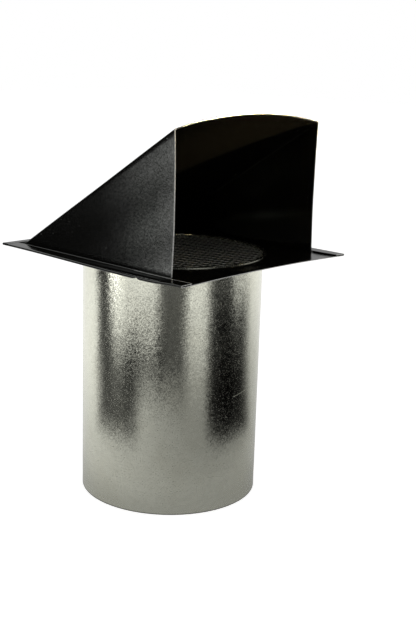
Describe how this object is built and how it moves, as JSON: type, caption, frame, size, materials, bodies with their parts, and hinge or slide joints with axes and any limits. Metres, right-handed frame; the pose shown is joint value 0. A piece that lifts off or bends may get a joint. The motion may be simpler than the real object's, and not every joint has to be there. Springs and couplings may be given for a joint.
{
  "type": "hooded wall vent",
  "caption": "Wall vent for a round duct: a galvanised pipe and wire screen behind a black folded hood with an arched roof and an open mouth, on a hemmed square plate.",
  "frame": {"origin": "on the pipe's axis, at its open end, where the duct joins", "axes": "+Z along the pipe towards the hood and away from the wall, -Y out of the hood's mouth"},
  "size_m": [0.1972, 0.2144, 0.3283],
  "materials": {
    "black_coated_steel": "satin",
    "galvanised_steel": "spangled",
    "galvanised_wire": "dull"
  },
  "bodies": {
    "root": {"hood": "black_coated_steel", "wall_plate": "black_coated_steel", "duct_pipe": "galvanised_steel", "bird_screen": "galvanised_wire"}
  },
  "joints": []
}
